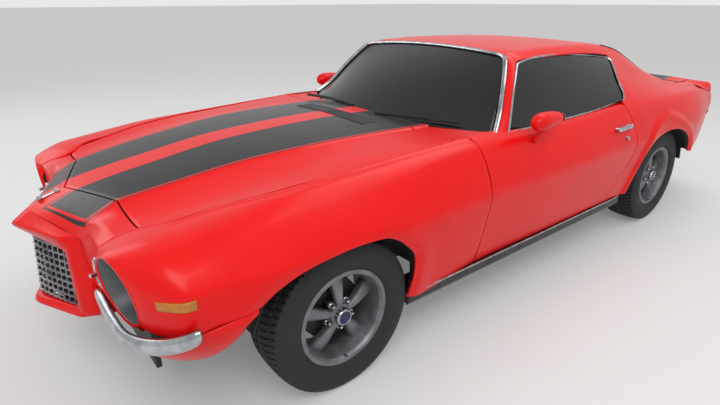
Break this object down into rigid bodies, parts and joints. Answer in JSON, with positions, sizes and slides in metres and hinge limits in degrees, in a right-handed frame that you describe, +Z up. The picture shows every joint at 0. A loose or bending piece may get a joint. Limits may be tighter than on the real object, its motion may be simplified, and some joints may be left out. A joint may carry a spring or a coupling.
{
  "type": "two-door muscle car",
  "caption": "Fastback coupe with a long striped hood, split front bumpers, spoked wheels and a tail spoiler; doors, hood and trunk open and the front wheels steer.",
  "frame": {"origin": "on the ground under the middle of the car's outer box", "axes": "+X to the car's left, -Y forward, +Z up"},
  "size_m": [1.932, 4.7743, 1.2649],
  "materials": {
    "red_paint": "gloss",
    "satin_chrome": "satin",
    "grille_metal": "satin",
    "lamp_glass": "clear",
    "window_glass": "clear",
    "tyre_rubber": "matte",
    "wheel_silver": "satin",
    "chassis_steel": "satin",
    "black_body": "satin",
    "engine_iron": "matte",
    "seat_vinyl": "satin",
    "dash_plastic": "matte"
  },
  "bodies": {
    "body": {"bumpers": "satin_chrome", "control_arms": "chassis_steel", "dashboard": "dash_plastic", "deck_panel": "red_paint", "driveshaft": "chassis_steel", "engine": "engine_iron", "exhaust": "chassis_steel", "fixed_glass": "window_glass", "floor_pan": "black_body", "front_fender_left": "red_paint", "front_fender_right": "red_paint", "front_valance": "red_paint", "fuel_tank": "chassis_steel", "grille": "grille_metal", "inner_fenders": "black_body", "lamps": "lamp_glass", "leaf_springs": "chassis_steel", "nose_panel": "red_paint", "quarter_left": "red_paint", "quarter_right": "red_paint", "rear_axle": "chassis_steel", "rear_panel": "red_paint", "rocker_panels": "black_body", "roof_panel": "red_paint", "seats": "seat_vinyl", "spoiler_ends": "red_paint", "subframe": "chassis_steel"},
    "hood": {"hood": "red_paint"},
    "trunk_lid": {"trunk_lid": "red_paint", "spoiler_centre": "red_paint"},
    "door_left": {"door_left": "red_paint", "door_glass_left": "window_glass", "mirror_left": "red_paint"},
    "door_right": {"door_right": "red_paint", "door_glass_right": "window_glass", "mirror_right": "red_paint"},
    "steering_wheel": {"steering_wheel": "dash_plastic"},
    "knuckle_left": {"knuckle_left": "chassis_steel"},
    "knuckle_right": {"knuckle_right": "chassis_steel"},
    "wheel_front_left": {"tyre_front_left": "tyre_rubber", "rim_front_left": "wheel_silver"},
    "wheel_front_right": {"tyre_front_right": "tyre_rubber", "rim_front_right": "wheel_silver"},
    "wheel_rear_left": {"tyre_rear_left": "tyre_rubber", "rim_rear_left": "wheel_silver"},
    "wheel_rear_right": {"tyre_rear_right": "tyre_rubber", "rim_rear_right": "wheel_silver"}
  },
  "joints": [
    {"name": "hood_hinge", "type": "hinge", "parent": "body", "child": "hood", "pos_m": [0, -0.68, 0.9], "axis": [-1, 0, 0], "range_deg": [0, 48]},
    {"name": "trunk_hinge", "type": "hinge", "parent": "body", "child": "trunk_lid", "pos_m": [0, 1.63, 0.897], "axis": [1, 0, 0], "range_deg": [0, 60]},
    {"name": "door_left_hinge", "type": "hinge", "parent": "body", "child": "door_left", "pos_m": [0.915, -0.599, 0.6], "axis": [0, 0, -1], "range_deg": [0, 64]},
    {"name": "door_right_hinge", "type": "hinge", "parent": "body", "child": "door_right", "pos_m": [-0.915, -0.599, 0.6], "axis": [0, 0, 1], "range_deg": [0, 64]},
    {"name": "steer_left", "type": "hinge", "parent": "body", "child": "knuckle_left", "pos_m": [0.69, -1.441, 0.33], "axis": [0, 0, 1], "range_deg": [-32, 32]},
    {"name": "steer_right", "type": "hinge", "parent": "body", "child": "knuckle_right", "pos_m": [-0.69, -1.441, 0.33], "axis": [0, 0, 1], "range_deg": [-32, 32]},
    {"name": "steering_wheel_turn", "type": "hinge", "parent": "body", "child": "steering_wheel", "pos_m": [0.37, -0.191, 0.8], "axis": [0, 0.9511, 0.309], "range_deg": [-450, 450]},
    {"name": "wheel_front_left_spin", "type": "hinge", "parent": "knuckle_left", "child": "wheel_front_left", "pos_m": [0.772, -1.441, 0.33], "axis": [1, 0, 0], "continuous": true},
    {"name": "wheel_front_right_spin", "type": "hinge", "parent": "knuckle_right", "child": "wheel_front_right", "pos_m": [-0.772, -1.441, 0.33], "axis": [1, 0, 0], "continuous": true},
    {"name": "wheel_rear_left_spin", "type": "hinge", "parent": "body", "child": "wheel_rear_left", "pos_m": [0.772, 1.302, 0.33], "axis": [1, 0, 0], "continuous": true},
    {"name": "wheel_rear_right_spin", "type": "hinge", "parent": "body", "child": "wheel_rear_right", "pos_m": [-0.772, 1.302, 0.33], "axis": [1, 0, 0], "continuous": true}
  ],
  "couplings": [
    {"joint": "steer_right", "follows": "steer_left", "ratio": 1},
    {"joint": "steering_wheel_turn", "follows": "steer_left", "ratio": 14}
  ]
}
